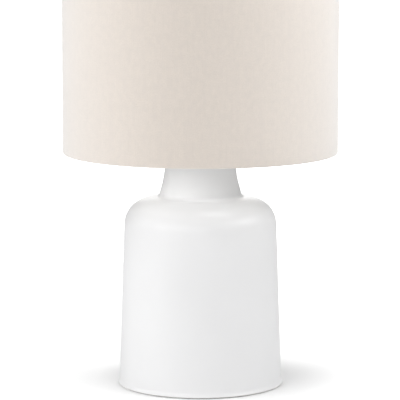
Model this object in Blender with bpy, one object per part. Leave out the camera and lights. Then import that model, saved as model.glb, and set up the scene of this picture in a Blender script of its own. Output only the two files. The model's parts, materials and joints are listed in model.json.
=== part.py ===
"""Table lamp: a white ceramic bottle body and a drum shade on an E27 ring fitting.

Metres, +Z up. The origin is the centre of the underside. The front faces -Y, and the
cord entry faces +Y. Pieces that touch on the real lamp are kept GAP apart.
"""

import math

import bmesh
import bpy
from mathutils import Matrix, Vector

MM = 0.001
GAP = 0.3 * MM

# Driving dimensions of the outside.
SHADE_RADIUS = 175.0 * MM
SHADE_HEIGHT = 205.0 * MM
SHADE_BASE = 298.0 * MM
FOOT_RADIUS = 106.0 * MM
SHOULDER_RADIUS = 97.3 * MM
SHOULDER_HEIGHT = 206.2 * MM
NECK_RADIUS = 45.2 * MM
NECK_TOP = 288.0 * MM
BODY_WALL = 6.0 * MM

# Body outline: a cone up to the shoulder, two tangent arcs, a small fillet and the neck.
CONE_SLOPE = 0.034
FLARE_TOP = 9.0 * MM
LIP_RADIUS = 1.0 * MM
SHOULDER_ARC = 32.9 * MM
SHOULDER_TURN = 59.0
CROWN_ARC = 52.5 * MM
CROWN_TURN = 86.5
NECK_FILLET = 6.0 * MM
NECK_BORE = 39.5 * MM

# Underside: felt, steel plate and the pipe's clamping hardware.
FELT_THICKNESS = 1.0 * MM
FELT_RADIUS = 103.5 * MM
PLATE_BASE = 24.0 * MM
PLATE_THICKNESS = 3.0 * MM
PLATE_RADIUS = 95.0 * MM
LEDGE_RADIUS = 89.0 * MM
LEDGE_TOP = 36.0 * MM
CORD_ENTRY_HEIGHT = 15.0 * MM
CORD_ENTRY_BORE = 3.7 * MM
CORD_HOLE_RADIUS = 5.8 * MM

# The M10 lamp pipe and what it clamps.
PIPE_RADIUS = 4.85 * MM
PIPE_BORE = 3.6 * MM
PIPE_BOTTOM = 12.0 * MM
PIPE_HOLE = 5.2 * MM
NUT_FLATS = 17.0 * MM
NUT_HEIGHT = 4.4 * MM
PIPE_WASHER_THICKNESS = 1.5 * MM
LOCK_WASHER_THICKNESS = 1.6 * MM

# The E27 lampholder.
HOLDER_BASE = 298.6 * MM
HOLDER_RADIUS = 17.8 * MM
FLANGE_TOP = 337.5 * MM
FLANGE_RADIUS = 22.5 * MM
THREAD_RADIUS = 19.7 * MM
THREAD_TOP = 361.0 * MM
HOLDER_TOP = 372.0 * MM
HOLDER_SHEET = 1.2 * MM
INSERT_BASE = HOLDER_BASE + 19.4 * MM
SCREW_BORE = 13.4 * MM
SWITCH_HEIGHT = 329.5 * MM
SWITCH_RADIUS = 2.6 * MM
SWITCH_TRAVEL = 5.0 * MM

# The shade's ring fitting and the ring that clamps it.
FITTER_BORE = 20.6 * MM
FITTER_RADIUS = 26.5 * MM
FITTER_THICKNESS = 1.6 * MM
WASHER_THICKNESS = 0.8 * MM
WASHER_BORE = FITTER_BORE - 0.2 * MM
ARM_RADIUS = 1.6 * MM
ARM_COUNT = 3
ARM_BEND = 14.0 * MM
RING_HEIGHT = 8.0 * MM
RING_BORE = 20.2 * MM
RING_RADIUS = 25.0 * MM
RING_FLUTES = 12

# The shade's wall.
FABRIC_THICKNESS = 0.6 * MM
LINER_THICKNESS = 0.5 * MM
WIRE_RADIUS = 1.25 * MM
HEM_DEPTH = 12.0 * MM
HEM_KNEE = 7.0 * MM

# The LED bulb.
BULB_BASE = 348.3 * MM
BULB_RADIUS = 30.0 * MM
BULB_LENGTH = 109.0 * MM
CAP_RADIUS = 13.0 * MM
CAP_HEIGHT = 26.0 * MM
GLOBE_SEAT = 68.0 * MM

# Facets round large, middle-sized and small turned pieces.
LARGE = 48
MIDDLE = 24
SMALL = 16


def clear_scene():
    """Remove every object that the file opened with."""
    for item in list(bpy.data.objects):
        bpy.data.objects.remove(item, do_unlink=True)


def paint(name, colour, roughness, metallic=0.0):
    """Return the named Principled material, made on first use."""
    found = bpy.data.materials.get(name)
    if found:
        return found
    made = bpy.data.materials.new(name)
    made.use_nodes = True
    shader = made.node_tree.nodes["Principled BSDF"]
    shader.inputs["Base Color"].default_value = (*colour, 1.0)
    shader.inputs["Roughness"].default_value = roughness
    shader.inputs["Metallic"].default_value = metallic
    return made


def glaze():
    return paint("white_glaze", (0.83, 0.83, 0.84), 0.35)


def felt():
    return paint("grey_felt", (0.40, 0.40, 0.41), 0.95)


def steel():
    return paint("zinc_steel", (0.60, 0.60, 0.62), 0.35, 1.0)


def brass():
    return paint("brass", (0.78, 0.60, 0.30), 0.30, 1.0)


def nickel():
    return paint("nickel", (0.72, 0.70, 0.67), 0.25, 1.0)


def white_paint():
    return paint("white_enamel", (0.85, 0.85, 0.84), 0.40)


def bakelite():
    return paint("white_thermoset", (0.82, 0.82, 0.80), 0.30)


def porcelain():
    return paint("porcelain", (0.80, 0.78, 0.74), 0.45)


def nylon():
    return paint("natural_nylon", (0.70, 0.70, 0.68), 0.50)


def linen():
    return paint("ivory_linen", (0.71, 0.64, 0.57), 0.90)


def styrene():
    return paint("styrene_liner", (0.88, 0.87, 0.84), 0.40)


def opal():
    return paint("opal_plastic", (0.90, 0.90, 0.88), 0.35)


def board():
    return paint("white_board", (0.78, 0.80, 0.78), 0.50)


def glass_black():
    return paint("black_glass", (0.02, 0.02, 0.02), 0.20)


def arc(centre, radius, start, end, steps):
    """Points (r, z) round a circle, angles in degrees from +r towards +z."""
    points = []
    for step in range(steps + 1):
        angle = math.radians(start + (end - start) * step / steps)
        points.append((centre[0] + radius * math.cos(angle), centre[1] + radius * math.sin(angle)))
    return points


def rectangle(inner, outer, low, high):
    """Outline of a plain ring's section, or of a disc's where inner is 0."""
    return [(inner, low), (outer, low), (outer, high), (inner, high)]


def new_body(name, mesh, material, frame):
    """Link a finished mesh as one named sub-part under its frame."""
    mesh.materials.append(material)
    mesh.shade_smooth()
    mesh.set_sharp_from_angle(angle=math.radians(35.0))
    return hang(bpy.data.objects.new(name, mesh), frame)


def world_place(item):
    """Where an unrotated chain of parents puts an object's origin."""
    place = Vector((0.0, 0.0, 0.0))
    while item:
        place += item.location
        item = item.parent
    return place


def hang(body, frame, place=(0.0, 0.0, 0.0)):
    """Put an object at a world place, under a frame where it has one."""
    if body.name not in bpy.context.collection.objects:
        bpy.context.collection.objects.link(body)
    body.parent = frame
    body.location = Vector(place) - world_place(frame)
    return body


def bmesh_to_mesh(name, work):
    """Close off a bmesh: merge the poles, turn the faces outwards, make the mesh."""
    bmesh.ops.remove_doubles(work, verts=work.verts, dist=1e-6)
    bmesh.ops.recalc_face_normals(work, faces=work.faces)
    mesh = bpy.data.meshes.new(name)
    work.to_mesh(mesh)
    work.free()
    return mesh


def turned_mesh(name, outline, segments):
    """Spin a section (r, z) round Z. A section that starts and ends on the axis stays open there."""
    work = bmesh.new()
    ring = [work.verts.new((r, 0.0, z)) for r, z in outline]
    edges = [work.edges.new(pair) for pair in zip(ring[:-1], ring[1:])]
    on_axis = outline[0][0] == 0.0 and outline[-1][0] == 0.0
    if not on_axis:
        edges.append(work.edges.new((ring[-1], ring[0])))
    bmesh.ops.spin(work, geom=ring + edges, cent=(0, 0, 0), axis=(0, 0, 1), angle=math.tau,
                   steps=segments, use_merge=True)
    return bmesh_to_mesh(name, work)


def turned(name, outline, material, frame=None, segments=SMALL):
    return new_body(name, turned_mesh(name, outline, segments), material, frame)


def prism(name, outline, depth, material, frame=None):
    """Extrude an (x, z) outline along Y, half the depth each way."""
    work = bmesh.new()
    front = [work.verts.new((x, -depth / 2, z)) for x, z in outline]
    face = work.faces.new(front)
    moved = bmesh.ops.extrude_face_region(work, geom=[face])["geom"]
    back = [item for item in moved if isinstance(item, bmesh.types.BMVert)]
    bmesh.ops.translate(work, verts=back, vec=(0.0, depth, 0.0))
    return new_body(name, bmesh_to_mesh(name, work), material, frame)


def shaped_ring(name, outer_radius, inner_radius, low, high, segments, material, frame=None):
    """A ring whose outer radius is a function of the angle, with a round bore."""
    work = bmesh.new()
    rings = []
    for radius_at, height in ((outer_radius, low), (outer_radius, high),
                              (inner_radius, high), (inner_radius, low)):
        ring = []
        for step in range(segments):
            angle = math.tau * step / segments
            radius = radius_at(angle)
            ring.append(work.verts.new((radius * math.cos(angle), radius * math.sin(angle), height)))
        rings.append(ring)
    for lower, upper in zip(rings, rings[1:] + rings[:1]):
        for step in range(segments):
            after = (step + 1) % segments
            work.faces.new((lower[step], lower[after], upper[after], upper[step]))
    return new_body(name, bmesh_to_mesh(name, work), material, frame)


def hexagon(flats):
    """Radius of a hexagon at an angle, for its width across flats."""
    def radius_at(angle):
        off_flat = (angle + math.pi / 6) % (math.pi / 3) - math.pi / 6
        return flats / 2 / math.cos(off_flat)
    return radius_at


def constant(radius):
    return lambda angle: radius


def hex_nut(name, low, material, frame=None):
    return shaped_ring(name, hexagon(NUT_FLATS), constant(PIPE_HOLE), low, low + NUT_HEIGHT,
                       MIDDLE, material, frame)


def wire(name, points, radius, material, frame=None):
    """A round wire along a list of points, its ends capped."""
    curve = bpy.data.curves.new(name, "CURVE")
    curve.dimensions = "3D"
    curve.bevel_depth = radius
    curve.bevel_resolution = 2
    curve.resolution_u = 1
    curve.render_resolution_u = 0
    curve.use_fill_caps = True
    spline = curve.splines.new("POLY")
    spline.points.add(len(points) - 1)
    for target, point in zip(spline.points, points):
        target.co = (*point, 1.0)
    curve.materials.append(material)
    return hang(bpy.data.objects.new(name, curve), frame)


def round_cutter(name, radius, length, centre, direction):
    """A cylinder that only cuts: it is hidden and drawn as wire."""
    mesh = turned_mesh(name, rectangle(0.0, radius, -length / 2, length / 2), SMALL)
    cutter = bpy.data.objects.new(name, mesh)
    bpy.context.collection.objects.link(cutter)
    cutter.location = centre
    cutter.rotation_mode = "QUATERNION"
    cutter.rotation_quaternion = Vector((0, 0, 1)).rotation_difference(Vector(direction))
    cutter.hide_render = True
    cutter.display_type = "WIRE"
    return cutter


def cut(body, cutter):
    modifier = body.modifiers.new("cut_" + cutter.name, "BOOLEAN")
    modifier.operation = "DIFFERENCE"
    modifier.solver = "EXACT"
    modifier.object = cutter


def frame_at(name, location, parent=None):
    """An empty on a joint's axis. Its pieces are parented to it."""
    empty = bpy.data.objects.new(name, None)
    empty.empty_display_size = 0.02
    return hang(empty, parent, location)


# ---------------------------------------------------------------- ceramic body and underside

def cone_radius(height):
    return SHOULDER_RADIUS + CONE_SLOPE * (SHOULDER_HEIGHT - height)


def neck_radius(height, start, start_radius):
    """The neck narrows along a parabola and stands upright at its top."""
    left = (NECK_TOP - height) / (NECK_TOP - start)
    return NECK_RADIUS + (start_radius - NECK_RADIUS) * left ** 2


def shoulder_centres(inset):
    """Centres and radii of the shoulder's two tangent arcs, at a depth below the outside."""
    first = (SHOULDER_RADIUS - SHOULDER_ARC, SHOULDER_HEIGHT)
    turn = math.radians(SHOULDER_TURN)
    reach = SHOULDER_ARC - CROWN_ARC
    second = (first[0] + reach * math.cos(turn), first[1] + reach * math.sin(turn))
    return first, SHOULDER_ARC - inset, second, CROWN_ARC - inset


def outer_outline():
    """The outside of the body from the foot's underside up to the rim."""
    foot = FELT_THICKNESS + GAP
    lip = (FOOT_RADIUS - LIP_RADIUS, foot + LIP_RADIUS)
    points = arc(lip, LIP_RADIUS, -90.0, 30.0, 3)
    flare_start = points[-1]
    steps = 3
    for step in range(1, steps + 1):
        along = step / steps
        height = flare_start[1] + (FLARE_TOP - flare_start[1]) * along
        spread = (flare_start[0] - cone_radius(FLARE_TOP)) * (1.0 - along) ** 2
        points.append((cone_radius(FLARE_TOP) + spread, height))
    first, first_radius, second, second_radius = shoulder_centres(0.0)
    points += arc(first, first_radius, 0.0, SHOULDER_TURN, 5)
    points += arc(second, second_radius, SHOULDER_TURN, CROWN_TURN, 4)[1:]
    end = math.radians(CROWN_TURN)
    reach = CROWN_ARC + NECK_FILLET
    fillet = (second[0] + reach * math.cos(end), second[1] + reach * math.sin(end))
    points += arc(fillet, NECK_FILLET, 180.0 + CROWN_TURN, 180.0, 4)[1:]
    start_radius, start = points[-1]
    rim = NECK_TOP - LIP_RADIUS
    for step in range(1, steps + 1):
        height = start + (rim - start) * step / steps
        points.append((neck_radius(height, start, start_radius), height))
    points.append((NECK_RADIUS - LIP_RADIUS, NECK_TOP))
    return points


def inner_outline():
    """The inside of the body from the rim down to the foot's ledge for the steel plate."""
    first, first_radius, second, second_radius = shoulder_centres(BODY_WALL)
    ledge = PLATE_BASE + PLATE_THICKNESS + GAP
    foot = FELT_THICKNESS + GAP
    crown = arc(second, second_radius, CROWN_TURN, SHOULDER_TURN, 2)
    shoulder = arc(first, first_radius, SHOULDER_TURN, 0.0, 2)[1:]
    straight_bore = 25.0 * MM
    throat_spread = 4.0 * MM
    throat = crown[0][1] + BODY_WALL / 2
    wall_base = LEDGE_TOP + 9.0 * MM
    plate_wall = PLATE_RADIUS + 1.0 * MM
    points = [(NECK_BORE, NECK_TOP), (NECK_BORE, NECK_TOP - straight_bore)]
    points.append((NECK_BORE + throat_spread, throat))
    points += crown + shoulder
    points.append((cone_radius(wall_base) - BODY_WALL, wall_base))
    points += [(LEDGE_RADIUS, LEDGE_TOP), (LEDGE_RADIUS, ledge), (plate_wall, ledge), (plate_wall, foot)]
    return points


def make_ceramic_body():
    """Hollow glazed body, open at the neck and foot, drilled at the back for the cord."""
    body = turned("ceramic_body", outer_outline() + inner_outline(), glaze(), segments=LARGE)
    middle = (0.0, 100.0 * MM, CORD_ENTRY_HEIGHT)
    cut(body, round_cutter("cord_hole", CORD_HOLE_RADIUS, 5 * BODY_WALL, middle, (0, 1, 0)))


def make_underside():
    """Felt pad, the steel plate that the pipe pulls up against the ledge, and its nut."""
    turned("felt_pad", rectangle(0.0, FELT_RADIUS, 0.0, FELT_THICKNESS), felt(), segments=LARGE)
    plate_top = PLATE_BASE + PLATE_THICKNESS
    turned("bottom_plate", rectangle(PIPE_HOLE, PLATE_RADIUS, PLATE_BASE, plate_top), steel(),
           segments=LARGE)
    washer_radius = 14.0 * MM
    washer = PLATE_BASE - GAP - PIPE_WASHER_THICKNESS
    outline = rectangle(PIPE_HOLE, washer_radius, washer, washer + PIPE_WASHER_THICKNESS)
    turned("pipe_washer", outline, steel())
    lock_washer = washer - GAP - LOCK_WASHER_THICKNESS
    make_lock_washer(lock_washer)
    hex_nut("pipe_nut", lock_washer - GAP - NUT_HEIGHT, steel())


def make_lock_washer(low):
    """A spring washer: a square-section ring with a cut through one side."""
    outer = 8.6 * MM
    opening = math.radians(9.0)
    outline = rectangle(PIPE_HOLE, outer, low, low + LOCK_WASHER_THICKNESS)
    work = bmesh.new()
    section = [work.verts.new((r, 0.0, z)) for r, z in outline]
    face = work.faces.new(section)
    bmesh.ops.rotate(work, verts=section, cent=(0, 0, 0), matrix=Matrix.Rotation(opening / 2, 3, "Z"))
    bmesh.ops.spin(work, geom=[face], cent=(0, 0, 0), axis=(0, 0, 1),
                   angle=math.tau - opening, steps=SMALL, use_duplicate=False)
    new_body("pipe_lock_washer", bmesh_to_mesh("pipe_lock_washer", work), steel(), None)


def make_cord_grommet():
    """The cord's inlet: a flanged bush through the back wall, lying along Y."""
    flange_back = cone_radius(CORD_ENTRY_HEIGHT - 8.0 * MM) + 1.3 * MM
    bush = CORD_HOLE_RADIUS - 0.4 * MM
    length = 11.0 * MM
    flange = 7.6 * MM
    dome = 1.4 * MM
    outline = [
        (CORD_ENTRY_BORE, -length),
        (bush, -length),
        (bush, 0.0),
        (flange, 0.0),
        (flange - 0.4 * MM, dome - 0.4 * MM),
        (CORD_ENTRY_BORE + 0.8 * MM, dome),
        (CORD_ENTRY_BORE, dome - 0.5 * MM),
    ]
    grommet = turned("cord_grommet", outline, nylon())
    grommet.location = (0.0, flange_back, CORD_ENTRY_HEIGHT)
    grommet.rotation_euler = (math.radians(-90.0), 0.0, 0.0)


# ---------------------------------------------------------------- pipe and lampholder

def make_pipe():
    top = HOLDER_BASE + 10.4 * MM
    turned("lamp_pipe", rectangle(PIPE_BORE, PIPE_RADIUS, PIPE_BOTTOM, top), steel())


def make_neck_cap():
    """Pressed cover on the neck's rim, with a lip that centres it in the bore."""
    sheet = 1.2 * MM
    low = NECK_TOP + GAP
    lip = NECK_BORE - 0.5 * MM
    lip_end = low - 7.0 * MM
    brim = NECK_RADIUS - 1.5 * MM
    crown = low + 4.0 * MM
    flat = 13.0 * MM
    slope = 20.0 * MM
    drop = 0.9 * MM
    outline = [
        (PIPE_HOLE, crown), (flat, crown), (slope, crown - drop), (lip - sheet, low),
        (lip - sheet, lip_end), (lip, lip_end), (lip, low), (brim, low),
        (brim, low + sheet), (lip, low + sheet + 0.1 * MM), (slope, crown + sheet - drop),
        (flat, crown + sheet), (PIPE_HOLE, crown + sheet),
    ]
    turned("neck_cap", outline, white_paint(), segments=MIDDLE)
    hex_nut("neck_nut", crown + sheet + GAP, steel())


def make_holder_cap():
    """Cup of the lampholder: its collar screws onto the pipe, locked by a grub screw."""
    collar = 9.0 * MM
    shoulder = HOLDER_BASE + 7.8 * MM
    rise = 10.0 * MM
    spread = HOLDER_RADIUS - collar
    top = HOLDER_BASE + 25.6 * MM
    bowl = []
    for step in range(4):
        angle = math.radians(30.0 * step)
        bowl.append((collar + spread * math.sin(angle), shoulder + rise * (1.0 - math.cos(angle))))
    lining = [(radius - HOLDER_SHEET, height + HOLDER_SHEET) for radius, height in reversed(bowl)]
    outline = [(PIPE_HOLE, HOLDER_BASE), (collar, HOLDER_BASE)]
    outline += bowl + [(HOLDER_RADIUS, top), (HOLDER_RADIUS - HOLDER_SHEET, top)]
    outline += lining + [(PIPE_HOLE, shoulder + HOLDER_SHEET)]
    cap = turned("holder_cap", outline, bakelite(), segments=MIDDLE)
    make_grub_screw(cap, 8.0 * MM)


def make_grub_screw(cap, reach):
    """Headless screw in the collar's side, and its hole."""
    height = HOLDER_BASE + 3.6 * MM
    radius = 1.4 * MM
    half = 2.1 * MM
    cut(cap, round_cutter("grub_hole", radius + GAP, reach, (reach, 0.0, height), (1, 0, 0)))
    screw = turned("holder_grub_screw", rectangle(0.0, radius, -half, half), steel())
    screw.location = (PIPE_HOLE + half, 0.0, height)
    screw.rotation_euler = (0.0, math.radians(90.0), 0.0)


def make_holder_skirt():
    """Barrel of the lampholder: a flange that carries the shade, and its threaded length."""
    seam = HOLDER_BASE + 26.2 * MM
    spigot = HOLDER_RADIUS - HOLDER_SHEET - GAP
    spigot_end = seam - 5.0 * MM
    flange_low = FLANGE_TOP - 2.0 * MM
    bore = 15.6 * MM
    shell = 17.0 * MM
    plain = THREAD_RADIUS - 1.1 * MM
    chamfer = 0.8 * MM
    outline = [
        (bore, spigot_end), (spigot, spigot_end), (spigot, seam), (HOLDER_RADIUS, seam),
        (HOLDER_RADIUS, flange_low), (FLANGE_RADIUS, flange_low),
        (FLANGE_RADIUS, FLANGE_TOP), (THREAD_RADIUS, FLANGE_TOP), (THREAD_RADIUS, THREAD_TOP),
        (plain, THREAD_TOP + 1.0 * MM), (plain, HOLDER_TOP - chamfer), (plain - chamfer, HOLDER_TOP),
        (shell, HOLDER_TOP), (shell, FLANGE_TOP + 1.5 * MM), (bore, FLANGE_TOP),
    ]
    skirt = turned("holder_skirt", outline, bakelite(), segments=MIDDLE)
    cut(skirt, switch_hole("skirt_switch_hole", SWITCH_RADIUS + 0.6 * MM))


def switch_hole(name, radius):
    return round_cutter(name, radius, 2 * FLANGE_RADIUS + 5.0 * MM, (0.0, 0.0, SWITCH_HEIGHT), (1, 0, 0))


def make_holder_insert():
    """Porcelain core: the switch channel below, the screw shell's well above."""
    well = FLANGE_TOP + 7.5 * MM
    well_radius = 14.5 * MM
    rim = 16.6 * MM
    rim_top = HOLDER_TOP - 3.5 * MM
    outline = [
        (0.0, INSERT_BASE), (14.6 * MM, INSERT_BASE), (15.2 * MM, FLANGE_TOP), (rim, FLANGE_TOP + 2.0 * MM),
        (rim, rim_top), (well_radius, rim_top), (well_radius, well), (0.0, well),
    ]
    insert = turned("holder_insert", outline, porcelain(), segments=MIDDLE)
    cut(insert, switch_hole("insert_switch_hole", SWITCH_RADIUS + 0.9 * MM))
    shank = 1.3 * MM
    shank_length = 4.6 * MM
    for side, label in ((-1, "front"), (1, "back")):
        place = (0.0, side * 9.0 * MM, INSERT_BASE)
        cut(insert, round_cutter("terminal_hole_" + label, shank + GAP, 11.0 * MM, place, (0, 0, 1)))
        make_terminal_screw("terminal_screw_" + label, place, shank, shank_length)


def make_terminal_screw(name, place, shank, shank_length):
    """Brass screw that clamps one wire, its head below the insert."""
    head = 2.6 * MM
    head_low = -2.3 * MM
    outline = [(0.0, head_low), (head - 0.2 * MM, head_low), (head, -GAP), (shank, -GAP),
               (shank, shank_length), (0.0, shank_length)]
    screw = turned(name, outline, brass())
    screw.location = place


def make_screw_contacts():
    """Screw shell and centre tongue that the bulb's cap meets."""
    low = FLANGE_TOP + 7.8 * MM
    top = HOLDER_TOP - 4.5 * MM
    sheet = 0.7 * MM
    shell_hole = 8.0 * MM
    outline = [
        (shell_hole, low), (SCREW_BORE + sheet, low), (SCREW_BORE + sheet, top),
        (SCREW_BORE, top), (SCREW_BORE, low + sheet), (shell_hole, low + sheet),
    ]
    turned("screw_shell", outline, brass(), segments=MIDDLE)
    leaf = 0.5 * MM
    half = 6.0 * MM
    fold = low + 1.6 * MM
    reach = -3.0 * MM
    tip = BULB_BASE - GAP
    tongue = [
        (-half, low), (half + leaf, low), (half + leaf, fold), (reach, tip),
        (reach, tip - leaf), (half, fold - 0.4 * MM), (half, low + leaf), (-half, low + leaf),
    ]
    prism("centre_contact", tongue, 4.0 * MM, brass())


def make_switch(frame):
    """Push bar through the holder: pressed in on one side it stands out on the other."""
    half = 28.5 * MM
    groove = SWITCH_RADIUS - 0.8 * MM
    groove_half = 3.0 * MM
    bridge_half = groove_half - 0.6 * MM
    chamfer = 0.8 * MM
    tip = SWITCH_RADIUS - 0.6 * MM
    outline = [
        (0.0, -half), (tip, -half), (SWITCH_RADIUS, chamfer - half),
        (SWITCH_RADIUS, -groove_half), (groove, -groove_half), (groove, groove_half),
        (SWITCH_RADIUS, groove_half), (SWITCH_RADIUS, half - chamfer), (tip, half), (0.0, half),
    ]
    bridge = rectangle(groove + GAP, SWITCH_RADIUS + 0.4 * MM, -bridge_half, bridge_half)
    for name, section, material in (("switch_bar", outline, bakelite()),
                                    ("contact_bridge", bridge, brass())):
        piece = turned(name, section, material, frame)
        hang(piece, frame, (-SWITCH_TRAVEL / 2, 0.0, SWITCH_HEIGHT))
        piece.rotation_euler = (0.0, math.radians(90.0), 0.0)


# ---------------------------------------------------------------- shade

def make_support_washer(frame):
    low = FLANGE_TOP + GAP
    outer = FLANGE_RADIUS + 1.0 * MM
    outline = rectangle(WASHER_BORE, outer, low, low + WASHER_THICKNESS)
    turned("support_washer", outline, nylon(), frame, MIDDLE)


def fitter_base():
    return FLANGE_TOP + 2 * GAP + WASHER_THICKNESS


def wire_circle():
    """Radius and bottom height of the wire rings inside the rolled edges."""
    roll = FABRIC_THICKNESS + GAP + WIRE_RADIUS
    return SHADE_RADIUS - roll, roll


def make_fitter(frame):
    """Ring that sits on the lampholder, and the three arms that carry the bottom wire ring."""
    low = fitter_base()
    turned("fitter_ring", rectangle(FITTER_BORE, FITTER_RADIUS, low, low + FITTER_THICKNESS), white_paint(),
           frame, MIDDLE)
    height = low + FITTER_THICKNESS / 2
    ring_radius, roll = wire_circle()
    reach = ring_radius - roll - ARM_RADIUS - 2 * GAP
    bend = arc((reach - ARM_BEND, height - ARM_BEND), ARM_BEND, 90.0, 0.0, 5)
    section = [(FITTER_RADIUS + GAP, height)] + bend + [(reach, SHADE_BASE + roll)]
    for index in range(ARM_COUNT):
        arm = wire(f"fitter_arm_{index + 1}", [(r, 0.0, z) for r, z in section], ARM_RADIUS,
                   white_paint(), frame)
        arm.rotation_euler = (0.0, 0.0, math.radians(90.0 + 360.0 / ARM_COUNT * index))


def rolled_edge(edge, upward):
    """Section of one rolled edge, from the inner hem's end round the wire to the outer wall.

    The outside line and the inside line are returned, both ordered from the hem to the wall.
    """
    ring_radius, roll = wire_circle()
    sign = 1.0 if upward else -1.0
    centre = edge + sign * roll
    end = edge + sign * HEM_DEPTH
    knee = edge + sign * HEM_KNEE
    hem_inner = SHADE_RADIUS - 2 * FABRIC_THICKNESS - LINER_THICKNESS - 2 * GAP - FABRIC_THICKNESS
    inner_fold = roll - FABRIC_THICKNESS
    outside = [(hem_inner, end), (hem_inner, knee)]
    inside = [(hem_inner + FABRIC_THICKNESS, end), (hem_inner + FABRIC_THICKNESS, knee)]
    for angle in (180.0, 225.0, 270.0, 315.0, 360.0):
        turn = math.radians(angle)
        across, along = math.cos(turn), -math.sin(turn)
        outside.append((ring_radius + roll * across, centre - sign * roll * along))
        inside.append((ring_radius + inner_fold * across, centre - sign * inner_fold * along))
    return outside, inside


def make_shade(frame):
    """Linen glued to a styrene liner, its edges rolled over two wire rings."""
    top = SHADE_BASE + SHADE_HEIGHT
    low_out, low_in = rolled_edge(SHADE_BASE, True)
    high_out, high_in = rolled_edge(top, False)
    outline = low_out + high_out[::-1] + high_in + low_in[::-1]
    turned("shade_fabric", outline, linen(), frame, LARGE)
    liner_outer = SHADE_RADIUS - FABRIC_THICKNESS - GAP
    ring_radius, roll = wire_circle()
    clear = roll + WIRE_RADIUS + 2 * GAP
    liner = rectangle(liner_outer - LINER_THICKNESS, liner_outer, SHADE_BASE + clear, top - clear)
    turned("shade_liner", liner, styrene(), frame, LARGE)
    for name, height in (("bottom_wire_ring", SHADE_BASE + roll), ("top_wire_ring", top - roll)):
        section = arc((ring_radius, height), WIRE_RADIUS, 0.0, 300.0, 5)
        turned(name, section, nickel(), frame, LARGE)


def make_ring_washer(frame):
    low = fitter_base() + FITTER_THICKNESS + GAP
    outer = RING_RADIUS - 1.0 * MM
    outline = rectangle(WASHER_BORE, outer, low, low + WASHER_THICKNESS)
    turned("ring_washer", outline, nylon(), frame, MIDDLE)


def make_retaining_ring(frame):
    """Fluted ring nut that clamps the shade's fitter to the lampholder."""
    low = fitter_base() + FITTER_THICKNESS + 2 * GAP + WASHER_THICKNESS
    depth = 0.6 * MM

    def fluted(angle):
        return RING_RADIUS - depth / 2 + depth / 2 * math.cos(RING_FLUTES * angle)

    shaped_ring("retaining_ring", fluted, constant(RING_BORE), low, low + RING_HEIGHT,
                4 * RING_FLUTES, bakelite(), frame)


# ---------------------------------------------------------------- bulb

def make_bulb_tip(frame):
    radius = 4.6 * MM
    top = BULB_BASE + 2.0 * MM
    outline = [(0.0, BULB_BASE), (radius - 1.2 * MM, BULB_BASE), (radius, BULB_BASE + 1.0 * MM),
               (radius, top), (0.0, top)]
    turned("bulb_tip", outline, nickel(), frame)


def housing_radius(along):
    """Radius of the bulb's plastic body: a soft S curve from its neck at 0 to the globe's seat at 1."""
    neck = 14.4 * MM
    seat = 29.4 * MM
    swing = math.pi * (0.12 + 0.80 * along) ** 1.15
    return neck + (seat - neck) * (0.5 - 0.5 * math.cos(swing)) / 0.985


def make_bulb(frame):
    """LED bulb: insulator, screw cap, plastic body, board, driver and opal globe."""
    make_bulb_cap(frame)
    make_bulb_housing(frame)
    board_radius = 24.0 * MM
    thickness = 1.6 * MM
    seat = BULB_BASE + GLOBE_SEAT - 5.0 * MM
    turned("led_board", rectangle(0.0, board_radius, seat, seat + thickness), board(), frame, MIDDLE)
    half = 8.5 * MM
    driver = rectangle(-half, half, BULB_BASE + 16.0 * MM, BULB_BASE + 56.0 * MM)
    prism("driver_board", driver, thickness, board(), frame)
    make_globe(frame)


def make_bulb_cap(frame):
    """Nickel screw cap, and the black glass between it and the tip."""
    low = BULB_BASE + 2.3 * MM
    waist = BULB_BASE + 6.0 * MM
    top = BULB_BASE + 7.2 * MM
    glass = 10.4 * MM
    insulator = [(0.0, low), (glass - 5.0 * MM, low), (glass, waist), (glass, top), (0.0, top)]
    turned("bulb_insulator", insulator, glass_black(), frame)
    sheet = 0.5 * MM
    mouth = glass + 0.4 * MM
    lip = BULB_BASE + 6.6 * MM
    shoulder = BULB_BASE + 8.8 * MM
    end = BULB_BASE + CAP_HEIGHT
    cap = [(mouth, lip), (CAP_RADIUS, shoulder), (CAP_RADIUS, end), (CAP_RADIUS - sheet, end),
           (CAP_RADIUS - sheet, shoulder + 0.4 * MM), (mouth, lip + 0.8 * MM)]
    turned("bulb_cap", cap, nickel(), frame, MIDDLE)


def make_bulb_housing(frame):
    """Shell with a spigot inside the cap, flaring up to the globe's seat."""
    wall = 1.6 * MM
    neck = BULB_BASE + CAP_HEIGHT + GAP
    seat = BULB_BASE + GLOBE_SEAT
    spigot = CAP_RADIUS - 0.9 * MM
    spigot_end = BULB_BASE + 14.0 * MM
    steps = 6
    outline = [(spigot - wall, spigot_end), (spigot, spigot_end), (spigot, neck)]
    flare = []
    for step in range(steps + 1):
        along = step / steps
        flare.append((housing_radius(along), neck + (seat - neck) * along))
    outline += flare
    outline += [(radius - wall, height) for radius, height in reversed(flare[1:])]
    outline.append((spigot - wall, neck + 2.0 * MM))
    turned("bulb_housing", outline, opal(), frame, MIDDLE)


def make_globe(frame):
    """Opal cover: part of a sphere, open where it sits on the plastic body."""
    wall = 1.2 * MM
    centre = (0.0, BULB_BASE + BULB_LENGTH - BULB_RADIUS)
    rise = BULB_BASE + GLOBE_SEAT + GAP - centre[1]
    low = math.degrees(math.asin(rise / BULB_RADIUS))
    outer = arc(centre, BULB_RADIUS, low, 90.0, 8)
    inner = arc(centre, BULB_RADIUS - wall, 90.0, low, 8)
    outer[-1] = (0.0, centre[1] + BULB_RADIUS)
    inner[0] = (0.0, centre[1] + BULB_RADIUS - wall)
    turned("bulb_globe", inner + outer, opal(), frame, MIDDLE)


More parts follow.
